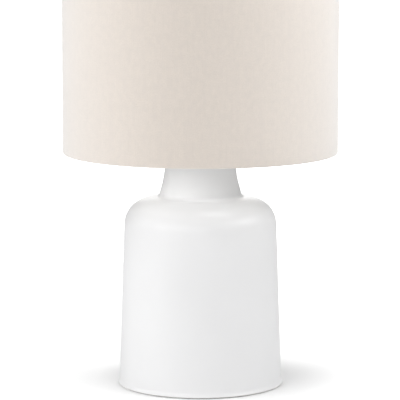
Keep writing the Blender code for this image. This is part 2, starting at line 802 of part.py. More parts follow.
def build():
    clear_scene()
    make_ceramic_body()
    make_underside()
    make_cord_grommet()
    make_pipe()
    make_neck_cap()
    make_holder_cap()
    make_holder_skirt()
    make_holder_insert()
    make_screw_contacts()

    switch_frame = frame_at("switch_frame", (-SWITCH_TRAVEL / 2, 0.0, SWITCH_HEIGHT))
    make_switch(switch_frame)

    swivel_frame = frame_at("swivel_frame", (0.0, 0.0, FLANGE_TOP))
    make_support_washer(swivel_frame)
    shade_frame = frame_at("shade_frame", (0.0, 0.0, fitter_base()), swivel_frame)
    make_fitter(shade_frame)
    make_shade(shade_frame)

    ring_base = fitter_base() + FITTER_THICKNESS
    lift_frame = frame_at("ring_rise_frame", (0.0, 0.0, ring_base), shade_frame)
    make_ring_washer(lift_frame)
    ring_frame = frame_at("ring_turn_frame", (0.0, 0.0, ring_base + RING_HEIGHT / 2), lift_frame)
    make_retaining_ring(ring_frame)

    tip_frame = frame_at("bulb_rise_frame", (0.0, 0.0, BULB_BASE))
    make_bulb_tip(tip_frame)
    bulb_frame = frame_at("bulb_turn_frame", (0.0, 0.0, BULB_BASE + CAP_HEIGHT / 2), tip_frame)
    make_bulb(bulb_frame)


build()
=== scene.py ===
"""Looks for the table lamp: fine meshes, materials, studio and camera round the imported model.

Metres, +Z up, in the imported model's frame. Every turned piece is spun again, finely and with
soft edges, from the section of its own CAD node, so it fits where that node fits.
"""

import json
import math

import bmesh
import bpy
from mathutils import Matrix, Vector, noise


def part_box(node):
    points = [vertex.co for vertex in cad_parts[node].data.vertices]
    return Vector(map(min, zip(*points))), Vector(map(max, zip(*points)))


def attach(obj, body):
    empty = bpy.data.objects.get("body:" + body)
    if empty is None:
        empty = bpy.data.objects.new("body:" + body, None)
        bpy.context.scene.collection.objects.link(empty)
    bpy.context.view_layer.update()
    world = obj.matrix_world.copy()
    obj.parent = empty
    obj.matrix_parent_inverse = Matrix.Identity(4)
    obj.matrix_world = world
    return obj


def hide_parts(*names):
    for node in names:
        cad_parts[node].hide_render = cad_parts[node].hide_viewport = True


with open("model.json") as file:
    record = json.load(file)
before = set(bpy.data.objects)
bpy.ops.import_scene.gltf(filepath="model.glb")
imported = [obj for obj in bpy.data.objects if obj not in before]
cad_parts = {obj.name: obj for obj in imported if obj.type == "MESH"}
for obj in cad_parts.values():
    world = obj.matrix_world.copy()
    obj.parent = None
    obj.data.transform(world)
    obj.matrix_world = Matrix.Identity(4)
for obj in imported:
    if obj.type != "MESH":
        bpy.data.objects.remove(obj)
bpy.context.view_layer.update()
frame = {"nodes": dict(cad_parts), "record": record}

MM = 0.001

# A point this near the axis is on it, and one this near the cutting plane is in it.
ON_AXIS = 1e-6
IN_PLANE = 3e-6
# The most of a run that one softened corner takes, and the slope below which a run is near level.
CORNER_SHARE = 0.42
NEAR_LEVEL = 0.4
# Edges that bend more than this stay sharp in the shading.
SHARP = math.radians(50.0)

# The camera stands where a product photograph is taken: far off, a little above.
CAMERA_DISTANCE = 3.0
CAMERA_ELEVATION = math.radians(7.8)
CAMERA_TARGET = Vector((-0.5 * MM, 0.0, 236.8 * MM))
CAMERA_LENS = 211.2
CAMERA_SENSOR = 36.0

THREAD_PITCH = 2.5 * MM
E27_PITCH = 3.629 * MM
RING_FLUTES = 12

# The shade's cloth.
SHADE_RADIUS = 175.0 * MM
WARP_THREADS = 1200
THREAD_SPACING = math.tau * SHADE_RADIUS / WARP_THREADS


# ---------------------------------------------------------------- sections and turned meshes

def bare_section(node, to_axis):
    """A node's edges in the half plane at 45 degrees round its axis, as each point's neighbours."""
    mesh = frame["nodes"][node].data
    slant = math.sqrt(0.5)
    places = {}
    for vertex in mesh.vertices:
        point = to_axis @ vertex.co
        along = slant * (point.x + point.y)
        aside = slant * (point.y - point.x)
        if abs(aside) < IN_PLANE and along > -ON_AXIS:
            places[vertex.index] = (round(along, 6), round(point.z, 6))
    links = {}
    for edge in mesh.edges:
        first, second = (places.get(index) for index in edge.vertices)
        if first and second and first != second:
            links.setdefault(first, set()).add(second)
            links.setdefault(second, set()).add(first)
    return links


def section(node, to_axis=Matrix.Identity(4)):
    """Ordered outline (r, z) of a turned node. An outline that reaches the axis ends on it."""
    links = bare_section(node, to_axis)
    ends = sorted(point for point, near in links.items() if len(near) == 1)
    point = ends[0] if ends else min(links)
    outline = [point]
    seen = {point}
    while True:
        onward = sorted(near for near in links[point] if near not in seen)
        if not onward:
            break
        point = onward[0]
        seen.add(point)
        outline.append(point)
    if ends:
        first, last = outline[0], outline[-1]
        before = [(0.0, first[1])] if first[0] > ON_AXIS else []
        after = [(0.0, last[1])] if last[0] > ON_AXIS else []
        outline = before + outline + after
    return outline


def is_closed(outline):
    """Whether the outline is a loop, and not a line from the axis to the axis."""
    return not (outline[0][0] < ON_AXIS and outline[-1][0] < ON_AXIS)


def softened(outline, radius, corner):
    """The outline with each sharp corner rounded off by a small curve."""
    count = len(outline)
    closed = is_closed(outline)
    result = []
    for index, point in enumerate(outline):
        if not closed and index in (0, count - 1):
            result.append(point)
            continue
        here = Vector(point)
        before = Vector(outline[index - 1]) - here
        after = Vector(outline[(index + 1) % count]) - here
        if before.angle(-after) < corner:
            result.append(point)
            continue
        reach = min(radius, CORNER_SHARE * before.length, CORNER_SHARE * after.length)
        start = here + before.normalized() * reach
        end = here + after.normalized() * reach
        halfway = start * 0.25 + here * 0.5 + end * 0.25
        result += [tuple(start), tuple(halfway), tuple(end)]
    return result


def heading(before, after, keep, corner):
    """Direction of the outline at a point: shared by its two runs where they bend gently."""
    if before.angle(after) > corner:
        return keep.normalized()
    return (before + after).normalized()


def flat_at_axis(chord):
    """A near level run meets the axis dead level, so that a dome has no point at its pole."""
    if abs(chord.y) < NEAR_LEVEL * abs(chord.x):
        return Vector((math.copysign(1.0, chord.x), 0.0))
    return chord.normalized()


def curved(outline, corner, turn):
    """The outline with smooth curves run through its gentle bends, a point at every small turn."""
    closed = is_closed(outline)
    points = [Vector(point) for point in outline]
    count = len(points)
    result = []
    for index in range(count if closed else count - 1):
        start = points[index]
        end = points[(index + 1) % count]
        chord = end - start
        if closed or index > 0:
            leave = heading(start - points[index - 1], chord, chord, corner)
        else:
            leave = flat_at_axis(chord)
        if closed or index < count - 2:
            arrive = heading(chord, points[(index + 2) % count] - end, chord, corner)
        else:
            arrive = flat_at_axis(chord)
        parts = max(1, math.ceil((leave.angle(chord) + arrive.angle(chord)) / turn))
        for part in range(parts):
            t = part / parts
            point = start * (1 + 2 * t) * (1 - t) ** 2 + end * t * t * (3 - 2 * t)
            point += (leave * t * (1 - t) ** 2 - arrive * t * t * (1 - t)) * chord.length
            result.append((max(point.x, 0.0), point.y))
    if not closed:
        result.append(outline[-1])
    return result


def fine(outline, edge=0.3 * MM, corner=40.0, turn=12.0):
    """An outline's finished form: its corners softened, its gentle bends made smooth."""
    corner = math.radians(corner)
    return curved(softened(outline, edge, corner), corner, math.radians(turn))


def subdivided(outline, longest):
    """The outline with points added so that no straight run is longer than asked."""
    closed = is_closed(outline)
    pairs = list(zip(outline, outline[1:] + outline[:1] if closed else outline[1:]))
    result = []
    for first, second in pairs:
        length = math.dist(first, second)
        parts = max(1, math.ceil(length / longest))
        for part in range(parts):
            t = part / parts
            radius = first[0] + (second[0] - first[0]) * t
            height = first[1] + (second[1] - first[1]) * t
            result.append((radius, height))
    if not closed:
        result.append(outline[-1])
    return result


def finished_mesh(name, work):
    """A smooth mesh made from a bmesh, its faces turned outwards and its sharp edges marked."""
    bmesh.ops.recalc_face_normals(work, faces=work.faces)
    mesh = bpy.data.meshes.new(name)
    work.to_mesh(mesh)
    work.free()
    mesh.shade_smooth()
    mesh.set_sharp_from_angle(angle=SHARP)
    return mesh


def spun_mesh(name, outline, around, shape=None):
    """Spin an outline round Z. shape(angle, r, z) may move each point to another (r, z)."""
    closed = is_closed(outline)
    work = bmesh.new()
    columns = []
    poles = {}
    for step in range(around):
        angle = math.tau * step / around
        column = []
        for index, (radius, height) in enumerate(outline):
            if not closed and index in (0, len(outline) - 1):
                if index not in poles:
                    poles[index] = work.verts.new((0.0, 0.0, height))
                column.append(poles[index])
                continue
            r, z = shape(angle, radius, height) if shape else (radius, height)
            column.append(work.verts.new((r * math.cos(angle), r * math.sin(angle), z)))
        columns.append(column)
    last = len(outline) if closed else len(outline) - 1
    for step, column in enumerate(columns):
        after = columns[(step + 1) % around]
        for index in range(last):
            onward = (index + 1) % len(outline)
            corners = [column[index], column[onward], after[onward], after[index]]
            work.faces.new(list(dict.fromkeys(corners)))
    return finished_mesh(name, work)


BODY_OF = {node: body for body, nodes in frame["record"]["behaviour"]["bodies"].items() for node in nodes}


def place(name, mesh, material, node, from_axis=Matrix.Identity(4)):
    """Put a finished mesh in the scene in place of its CAD node, on the node's own body."""
    mesh.transform(from_axis)
    mesh.materials.append(material)
    piece = bpy.data.objects.new(name, mesh)
    bpy.context.collection.objects.link(piece)
    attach(piece, BODY_OF[node])
    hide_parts(node)
    return piece


# ---------------------------------------------------------------- material building blocks

class Look:
    """One Principled material and the nodes that feed it. Textures use the piece's own metres."""

    def __init__(self, name, colour, roughness, metallic=0.0, sockets=None):
        self.material = bpy.data.materials.new(name)
        self.material.use_nodes = True
        self.nodes = self.material.node_tree.nodes
        self.links = self.material.node_tree.links
        self.shader = self.nodes["Principled BSDF"]
        self.colour = colour
        self.shader.inputs["Base Color"].default_value = (*colour, 1.0)
        self.shader.inputs["Roughness"].default_value = roughness
        self.shader.inputs["Metallic"].default_value = metallic
        for socket, value in (sockets or {}).items():
            self.shader.inputs[socket].default_value = value
        self.normal = None
        self.coordinates = self.nodes.new("ShaderNodeTexCoord").outputs["Object"]

    def feed(self, socket, value):
        """Give an input a number, or link it where the value is another node's output."""
        if isinstance(value, bpy.types.NodeSocket):
            self.links.new(value, socket)
        else:
            socket.default_value = value

    def math(self, operation, first, second=0.0):
        """The result of one operation on two numbers."""
        node = self.nodes.new("ShaderNodeMath")
        node.operation = operation
        self.feed(node.inputs[0], first)
        self.feed(node.inputs[1], second)
        return node.outputs[0]

    def scaled(self, vector, scale):
        """A vector multiplied by a scale along each axis."""
        node = self.nodes.new("ShaderNodeMapping")
        self.feed(node.inputs["Vector"], vector)
        node.inputs["Scale"].default_value = scale
        return node.outputs["Vector"]

    def noise(self, scale, detail=3.0, stretch=None, vector=None):
        """Noise from 0 to 1. scale is in cycles a metre."""
        node = self.nodes.new("ShaderNodeTexNoise")
        source = vector or (self.scaled(self.coordinates, stretch) if stretch else self.coordinates)
        self.feed(node.inputs["Vector"], source)
        node.inputs["Scale"].default_value = scale
        node.inputs["Detail"].default_value = detail
        return node.outputs["Fac"]

    def band(self, value, low, high, start=0.0, end=1.0):
        """Map low..high to start..end, held at the ends."""
        node = self.nodes.new("ShaderNodeMapRange")
        self.feed(node.inputs["Value"], value)
        node.inputs["From Min"].default_value = low
        node.inputs["From Max"].default_value = high
        node.inputs["To Min"].default_value = start
        node.inputs["To Max"].default_value = end
        return node.outputs["Result"]

    def axes(self):
        """The piece's own x, y and z in metres."""
        node = self.nodes.new("ShaderNodeSeparateXYZ")
        self.feed(node.inputs[0], self.coordinates)
        return node.outputs

    def turn(self):
        """Angle round Z in radians, from 0 at the front to plus and minus pi at the back."""
        x, y, _ = self.axes()
        return self.math("ARCTAN2", x, self.math("MULTIPLY", y, -1.0))

    def vector(self, x, y, z):
        """A vector made of three numbers."""
        node = self.nodes.new("ShaderNodeCombineXYZ")
        for socket, value in zip(node.inputs, (x, y, z)):
            self.feed(socket, value)
        return node.outputs[0]

    def tint(self, other, factor):
        """Blend the base colour so far towards another colour."""
        node = self.nodes.new("ShaderNodeMix")
        node.data_type = "RGBA"
        self.feed(node.inputs["Factor"], factor)
        base = self.shader.inputs["Base Color"]
        before = base.links[0].from_socket if base.links else (*self.colour, 1.0)
        self.feed(node.inputs["A"], before)
        self.feed(node.inputs["B"], (*other, 1.0))
        self.links.new(node.outputs["Result"], base)

    def rough(self, factor, low, high):
        """Roughness that runs from low to high over the middle half of a noise's range."""
        self.links.new(self.band(factor, 0.25, 0.75, low, high), self.shader.inputs["Roughness"])

    def bump(self, height, depth, strength=1.0):
        """Add relief. depth is the real height in metres of the texture's 0 to 1."""
        node = self.nodes.new("ShaderNodeBump")
        node.inputs["Strength"].default_value = strength
        node.inputs["Distance"].default_value = depth
        self.feed(node.inputs["Height"], height)
        if self.normal:
            self.links.new(self.normal, node.inputs["Normal"])
        self.normal = node.outputs["Normal"]
        self.links.new(self.normal, self.shader.inputs["Normal"])


# The glaze thins out between these heights, and below them the foot's clay is bare.
GLAZE_END = 2.6 * MM
CLAY_TOP = 2.0 * MM


def glaze_look():
    """Satin white glaze: slow ripples, a fine orange peel, a bare clay ring under the foot."""
    look = Look("white_glaze", (0.83, 0.83, 0.835), 0.36, sockets={"Specular IOR Level": 0.5})
    cloud = look.noise(14.0, 2.0)
    look.tint((0.80, 0.80, 0.805), look.band(cloud, 0.35, 0.75, 0.0, 0.55))
    specks = look.noise(950.0, 2.0)
    look.tint((0.66, 0.62, 0.56), look.band(specks, 0.72, 0.78, 0.0, 0.35))
    height = look.axes()[2]
    look.tint((0.78, 0.765, 0.74), look.band(height, GLAZE_END, CLAY_TOP))
    look.rough(look.noise(60.0, 3.0), 0.32, 0.41)
    look.bump(look.noise(22.0, 1.0), 0.5 * MM, 0.35)
    look.bump(look.noise(110.0, 1.0), 0.10 * MM, 0.30)
    look.bump(look.noise(620.0, 2.0), 0.03 * MM, 0.5)
    return look.material


def linen_look():
    """Ivory plain weave: fine grain, faint slubs both ways, soft bands and mottling from the bolt."""
    look = Look("ivory_linen", (0.71, 0.635, 0.565), 0.9,
                sockets={"Sheen Weight": 1.0, "Sheen Roughness": 0.7, "Specular IOR Level": 0.2})
    turn = look.turn()
    height = look.axes()[2]
    wall = look.vector(look.math("MULTIPLY", turn, SHADE_RADIUS), height, 0.0)
    across = look.math("SINE", look.math("MULTIPLY", turn, WARP_THREADS / 2))
    along = look.math("SINE", look.math("MULTIPLY", height, math.pi / THREAD_SPACING))
    weave = look.math("MULTIPLY", across, along)

    def on_wall(around, up, detail=2.0):
        """Noise on the unrolled wall, in cycles a metre round it and up it."""
        return look.noise(1.0, detail, vector=look.scaled(wall, (around, up, 1.0)))

    grain = on_wall(620.0, 620.0, 1.0)
    weft = on_wall(70.0, 1300.0)
    warp = on_wall(1300.0, 26.0)
    bolt = on_wall(90.0, 2.5)
    mottle = on_wall(150.0, 115.0)
    look.tint((0.62, 0.545, 0.475), look.band(weft, 0.50, 0.80, 0.0, 0.35))
    look.tint((0.63, 0.56, 0.485), look.band(warp, 0.50, 0.80, 0.0, 0.45))
    look.tint((0.595, 0.52, 0.445), look.band(grain, 0.42, 0.72, 0.0, 0.35))
    look.tint((0.785, 0.72, 0.65), look.band(weave, 0.2, 1.0, 0.0, 0.30))
    look.tint((0.66, 0.585, 0.53), look.band(bolt, 0.45, 0.70, 0.0, 0.30))
    look.tint((0.62, 0.56, 0.505), look.band(mottle, 0.35, 0.70, 0.0, 0.38))
    look.bump(weave, 0.10 * MM, 0.5)
    look.bump(grain, 0.10 * MM, 0.4)
    look.bump(weft, 0.14 * MM, 0.4)
    look.bump(warp, 0.16 * MM, 0.5)
    return look.material


def styrene_look():
    """Satin white shade liner with faint rolling marks."""
    look = Look("styrene_liner", (0.86, 0.85, 0.82), 0.45, sockets={"Specular IOR Level": 0.45})
    marks = look.noise(1.0, 2.0, stretch=(30.0, 30.0, 420.0))
    look.tint((0.80, 0.785, 0.75), look.band(marks, 0.45, 0.75, 0.0, 0.4))
    look.rough(look.noise(40.0), 0.40, 0.55)
    look.bump(marks, 0.05 * MM, 0.4)
    return look.material


def felt_look():
    """Grey wool felt: matted fibres lying every way."""
    look = Look("grey_felt", (0.40, 0.40, 0.41), 0.97,
                sockets={"Sheen Weight": 0.5, "Sheen Roughness": 0.6, "Specular IOR Level": 0.1})
    one_way = look.noise(1.0, 4.0, stretch=(1500.0, 240.0, 700.0))
    other_way = look.noise(1.0, 4.0, stretch=(260.0, 1400.0, 700.0))
    fibres = look.math("MAXIMUM", one_way, other_way)
    look.tint((0.58, 0.58, 0.59), look.band(fibres, 0.5, 0.8))
    look.tint((0.28, 0.28, 0.29), look.band(look.noise(60.0), 0.5, 0.8, 0.0, 0.6))
    look.bump(fibres, 0.35 * MM, 0.7)
    return look.material


def metal_look(name, colour, dull, roughness, grain=(900.0, 900.0, 90.0)):
    """Plated or raw metal: drawn grain, stains of a duller tone, finer scratches."""
    look = Look(name, colour, roughness, 1.0)
    drawn = look.noise(1.0, 4.0, stretch=grain)
    stain = look.noise(170.0, 4.0)
    look.tint(dull, look.band(stain, 0.45, 0.75, 0.0, 0.7))
    look.rough(look.noise(420.0, 4.0), roughness - 0.08, roughness + 0.14)
    look.bump(drawn, 0.02 * MM, 0.5)
    look.bump(look.noise(2600.0, 2.0), 0.008 * MM, 0.4)
    return look.material


def moulded_look(name, colour, shade, roughness, sockets=None):
    """Moulded plastic or paint: fine texture, faint flow clouding, small scuffs in its gloss."""
    look = Look(name, colour, roughness, 0.0, sockets)
    look.tint(shade, look.band(look.noise(70.0, 3.0), 0.45, 0.8, 0.0, 0.5))
    scuffs = look.noise(1.0, 5.0, stretch=(500.0, 1800.0, 500.0))
    look.rough(scuffs, roughness - 0.07, roughness + 0.12)
    look.bump(look.noise(1500.0, 2.0), 0.02 * MM, 0.5)
    return look.material


def porcelain_look():
    """Unglazed electrical porcelain: chalky, with grog specks."""
    look = Look("porcelain", (0.78, 0.755, 0.70), 0.62)
    look.tint((0.66, 0.62, 0.55), look.band(look.noise(260.0, 4.0), 0.5, 0.8, 0.0, 0.6))
    look.tint((0.40, 0.35, 0.30), look.band(look.noise(2200.0, 1.0), 0.74, 0.80, 0.0, 0.6))
    look.bump(look.noise(1300.0, 3.0), 0.05 * MM, 0.6)
    return look.material


def board_look():
    """White solder mask over fine copper tracks."""
    look = Look("white_board", (0.80, 0.82, 0.80), 0.38)
    x, y, _ = look.axes()
    tracks = look.math("ABSOLUTE", look.math("SINE", look.math("MULTIPLY", x, 1500.0)))
    gaps = look.math("ABSOLUTE", look.math("SINE", look.math("MULTIPLY", y, 420.0)))
    look.tint((0.68, 0.71, 0.66), look.band(look.math("MULTIPLY", tracks, gaps), 0.6, 0.75, 0.0, 0.8))
    look.rough(look.noise(300.0), 0.32, 0.5)
    look.bump(tracks, 0.03 * MM, 0.4)
    return look.material


LOOKS = {
    "felt": felt_look(),
    "glaze": glaze_look(),
    "zinc_steel": metal_look("zinc_steel", (0.62, 0.63, 0.64), (0.45, 0.45, 0.46), 0.34),
    "nylon": moulded_look("natural_nylon", (0.72, 0.71, 0.67), (0.64, 0.62, 0.57), 0.45),
    "white_enamel": moulded_look("white_enamel", (0.84, 0.84, 0.83), (0.79, 0.79, 0.77), 0.38),
    "thermoset": moulded_look("white_thermoset", (0.82, 0.82, 0.80), (0.77, 0.765, 0.74), 0.28,
                              {"Coat Weight": 0.15}),
    "switch_plastic": moulded_look("switch_plastic", (0.80, 0.80, 0.78), (0.74, 0.73, 0.70), 0.30),
    "porcelain": porcelain_look(),
    "brass": metal_look("brass", (0.80, 0.60, 0.28), (0.52, 0.38, 0.18), 0.30),
    "nickel": metal_look("nickel", (0.74, 0.72, 0.69), (0.58, 0.55, 0.51), 0.24, (60.0, 60.0, 900.0)),
    "plated_wire": metal_look("plated_wire", (0.70, 0.69, 0.67), (0.50, 0.48, 0.45), 0.32),
    "linen": linen_look(),
    "styrene": styrene_look(),
    "black_glass": moulded_look("black_glass", (0.015, 0.015, 0.018), (0.04, 0.035, 0.04), 0.12),
    "bulb_plastic": moulded_look("bulb_plastic", (0.86, 0.86, 0.85), (0.82, 0.82, 0.80), 0.33),
    "opal": moulded_look("opal_plastic", (0.90, 0.90, 0.88), (0.87, 0.86, 0.83), 0.40),
    "board": board_look(),
}


# ---------------------------------------------------------------- turned and drilled pieces

def respun(node, around=96, edge=0.3 * MM, corner=40.0, turn=12.0, shape=None, longest=None,
           to_axis=Matrix.Identity(4)):
    """A fine mesh of a turned node, on the Z axis."""
    outline = fine(section(node, to_axis), edge, corner, turn)
    if longest:
        outline = subdivided(outline, longest)
    return spun_mesh(node, outline, around, shape)


def turned(name, node, look, around=96, edge=0.3 * MM, axis=Matrix.Identity(4)):
    """Spin a plain turned node again round its own axis, and put it in the node's place."""
    mesh = respun(node, around, edge, to_axis=axis.inverted())
    return place(name, mesh, LOOKS[look], node, axis)


ALONG_X = Vector((1.0, 0.0, 0.0))
ALONG_Y = Vector((0.0, 1.0, 0.0))
ALONG_Z = Vector((0.0, 0.0, 1.0))


def drilled(mesh, hole, centre, direction):
    """The mesh with a round hole, given as radius and length, cut about a centre."""
    radius, length = hole
    half = length / 2
    outline = [(0.0, -half), (radius, -half), (radius, half), (0.0, half)]
    piece = bpy.data.objects.new("drilled", mesh)
    rod = bpy.data.objects.new("rod", spun_mesh("rod", outline, 48))
    tilt = ALONG_Z.rotation_difference(direction)
    rod.matrix_world = Matrix.Translation(centre) @ tilt.to_matrix().to_4x4()
    for item in (piece, rod):
        bpy.context.collection.objects.link(item)
    hole = piece.modifiers.new("hole", "BOOLEAN")
    hole.operation = "DIFFERENCE"
    hole.solver = "EXACT"
    hole.object = rod
    graph = bpy.context.evaluated_depsgraph_get()
    result = bpy.data.meshes.new_from_object(piece.evaluated_get(graph))
    for item in (piece, rod):
        bpy.data.objects.remove(item, do_unlink=True)
    result.shade_smooth()
    result.set_sharp_from_angle(angle=SHARP)
    return result


def along_x(height):
    """Frame of a piece turned round a line along X."""
    return Matrix.Translation((0.0, 0.0, height)) @ Matrix.Rotation(math.radians(90.0), 4, "Y")


def along_y(height):
    """Frame of a piece turned round a line along Y, its own +Z to the back."""
    return Matrix.Translation((0.0, 0.0, height)) @ Matrix.Rotation(math.radians(-90.0), 4, "X")


def middle(node):
    """The middle of a node's box."""
    low, high = (Vector(corner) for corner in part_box(node))
    return (low + high) / 2


def helix(angle, height, pitch):
    """A thread's height round and up its helix, from 0 at the root to 1 at the crest."""
    phase = height / pitch - angle / math.tau
    return 0.5 + 0.5 * math.cos(math.tau * phase)


def drift(angle, height, around, up):
    """Smooth noise on a turned wall, with so many lumps a radian round it and a metre up it."""
    return noise.noise(Vector((math.cos(angle) * around, math.sin(angle) * around, height * up)))


# Nothing on the lamp is as high or as wide as this, so it leaves a fade open on that side.
BEYOND = 1.0


def fade(value, low, high, run):
    """0 outside two limits, rising to 1 over a run inside each of them."""
    return max(0.0, min(1.0, (value - low) / run, (high - value) / run))


# ---------------------------------------------------------------- body and its hardware

# The body's cast wall: how far it waves, the run over which that dies away, the hole at the back.
CAST_WAVE = 0.22 * MM
CAST_FADE = 30.0 * MM
CORD_HOLE = (5.8 * MM, 40.0 * MM)


def make_ceramic():
    """The bottle body, smooth all round, with the slow unevenness of a slip casting."""
    low, high = (corner[2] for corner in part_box("ceramic_body"))

    def cast(angle, radius, height):
        held = fade(height, low, high, CAST_FADE)
        return radius + CAST_WAVE * held * drift(angle, height, 1.7, 15.3), height

    outline = fine(section("ceramic_body"), edge=1.2 * MM, corner=32.0, turn=4.0)
    mesh = spun_mesh("ceramic_body", subdivided(outline, 6.0 * MM), 256, cast)
    mesh = drilled(mesh, CORD_HOLE, middle("cord_grommet"), ALONG_Y)
    place("glazed_body", mesh, LOOKS["glaze"], "ceramic_body")


# The felt's cut edge: how ragged, how far its top side bows, how wide the ragged rim is.
FELT_RAGGED = 0.35 * MM
FELT_BOW = 0.08 * MM
FELT_RIM = 3.0 * MM


def make_felt():
    """The felt pad under the foot, its cut edge a little ragged and its top side bowed by a hair."""
    low, high = (corner[2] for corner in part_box("felt_pad"))
    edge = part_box("felt_pad")[1][0]

    def ragged(angle, radius, height):
        rim = max(0.0, radius - edge + FELT_RIM) / FELT_RIM
        pull = drift(angle, height, 40.0, 900.0)
        lift = drift(angle, 0.0, 90.0 * radius, 0.0)
        upper = (height - low) / (high - low)
        return radius + FELT_RAGGED * rim * pull, height - FELT_BOW * upper * abs(lift)

    outline = subdivided(fine(section("felt_pad"), edge=0.45 * MM), 2.5 * MM)
    pad = place("felt_base", spun_mesh("felt_base", outline, 360, ragged), LOOKS["felt"], "felt_pad")


PIPE_PITCH = 1.0 * MM
PIPE_THREAD_DEPTH = 0.5 * MM


def make_pipe():
    """The lamp pipe, threaded from end to end, a point at every quarter of the pitch."""
    low, high = (corner[2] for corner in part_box("lamp_pipe"))
    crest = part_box("lamp_pipe")[1][0]

    def threaded(angle, radius, height):
        if radius <= crest - 0.2 * MM:
            return radius, height
        groove = PIPE_THREAD_DEPTH * (1.0 - helix(angle, height, PIPE_PITCH))
        return radius - groove * fade(height, low, high, PIPE_PITCH), height

    pipe = respun("lamp_pipe", 40, 0.4 * MM, shape=threaded, longest=PIPE_PITCH / 4)
    place("threaded_pipe", pipe, LOOKS["zinc_steel"], "lamp_pipe")


def make_hardware():
    """Everything turned inside the body and on its pipe."""
    turned("plate_disc", "bottom_plate", "zinc_steel", 128, 0.5 * MM)
    turned("plate_washer", "pipe_washer", "zinc_steel", 64)
    make_pipe()
    inlet = along_y(middle("cord_grommet").z)
    turned("inlet_bush", "cord_grommet", "nylon", 96, 0.25 * MM, inlet)
    turned("neck_cover", "neck_cap", "white_enamel", 160, 0.5 * MM)


# ---------------------------------------------------------------- lampholder

# Radius and length of each hole across the holder or up into its core.
GRUB_HOLE = (1.7 * MM, 8.0 * MM)
SWITCH_HOLE = (3.2 * MM, 60.0 * MM)
CORE_HOLE = (3.5 * MM, 50.0 * MM)
TERMINAL_HOLE = (1.6 * MM, 11.0 * MM)
# How far from the axis the middle of the grub screw's hole is.
GRUB_HOLE_MIDDLE = 8.0 * MM


def make_lampholder():
    """Cap and grub screw, threaded skirt, porcelain core with its terminal screws, screw shell."""
    grub_height = middle("holder_grub_screw").z
    grub_entry = Vector((GRUB_HOLE_MIDDLE, 0.0, grub_height))
    cap = drilled(respun("holder_cap", 96, 0.4 * MM), GRUB_HOLE, grub_entry, ALONG_X)
    place("holder_cup", cap, LOOKS["thermoset"], "holder_cap")
    turned("grub_screw", "holder_grub_screw", "zinc_steel", 32, 0.25 * MM, along_x(grub_height))
    make_skirt()
    core = drilled(respun("holder_insert", 96, 0.4 * MM), CORE_HOLE, middle("switch_bar"), ALONG_X)
    for side in ("front", "back"):
        node = "terminal_screw_" + side
        entry = middle(node)
        entry.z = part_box("holder_insert")[0][2]
        core = drilled(core, TERMINAL_HOLE, entry, ALONG_Z)
        stand = Matrix.Translation((0.0, entry.y, 0.0))
        turned("wire_screw_" + side, node, "brass", 32, 0.25 * MM, stand)
    place("porcelain_core", core, LOOKS["porcelain"], "holder_insert")
    make_screw_shell()


# The holder's outside thread: its crest radius, its depth and the height where it ends.
SKIRT_CREST = 19.7 * MM
SKIRT_THREAD_DEPTH = 0.9 * MM
SKIRT_THREAD_TOP = 360.6 * MM
THREAD_RUN_OUT = 1.0 * MM


def make_skirt():
    """Barrel with the helical thread that the retaining ring runs on."""
    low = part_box("support_washer")[0][2] + THREAD_RUN_OUT

    def threaded(angle, radius, height):
        if abs(radius - SKIRT_CREST) > 0.05 * MM:
            return radius, height
        groove = SKIRT_THREAD_DEPTH * (1.0 - helix(angle, height, THREAD_PITCH) ** 0.7)
        return radius - groove * fade(height, low, SKIRT_THREAD_TOP, THREAD_RUN_OUT), height

    skirt = respun("holder_skirt", 160, 0.35 * MM, shape=threaded, longest=0.3 * MM)
    skirt = drilled(skirt, SWITCH_HOLE, middle("switch_bar"), ALONG_X)
    place("threaded_skirt", skirt, LOOKS["thermoset"], "holder_skirt")


SHELL_THREAD_DEPTH = 0.5 * MM
SHELL_PLAIN_RADIUS = 13.0 * MM


def make_screw_shell():
    """Thin brass shell rolled into the E27 thread."""
    low, high = (corner[2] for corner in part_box("screw_shell"))

    def rolled(angle, radius, height):
        if radius < SHELL_PLAIN_RADIUS:
            return radius, height
        wave = helix(angle, height, E27_PITCH) * fade(height, low + 2.0 * MM, high - 1.0 * MM, 2.0 * MM)
        return radius - SHELL_THREAD_DEPTH * (1.0 - wave), height

    shell = respun("screw_shell", 128, 0.15 * MM, shape=rolled, longest=0.35 * MM)
    place("rolled_shell", shell, LOOKS["brass"], "screw_shell")


def make_switch():
    """Push bar and the brass bridge that it carries."""
    line = along_x(middle("switch_bar").z)
    turned("push_bar", "switch_bar", "switch_plastic", 64, 0.3 * MM, line)
    turned("bridge_band", "contact_bridge", "brass", 48, 0.2 * MM, line)


# ---------------------------------------------------------------- shade and its fitting

def make_fitting():
    """Washers, the fitter's ring and the retaining ring that clamps it."""
    turned("seat_washer", "support_washer", "nylon", 128, 0.2 * MM)
    turned("slip_washer", "ring_washer", "nylon", 128, 0.2 * MM)
    turned("fitter_flange", "fitter_ring", "white_enamel", 128, 0.5 * MM)
    make_retaining_ring()
    for index in ARMS:
        make_arm(index)


RING_BORE = 20.2 * MM
RING_THREAD_DEPTH = 0.5 * MM
FLUTE_DEPTH = 0.6 * MM


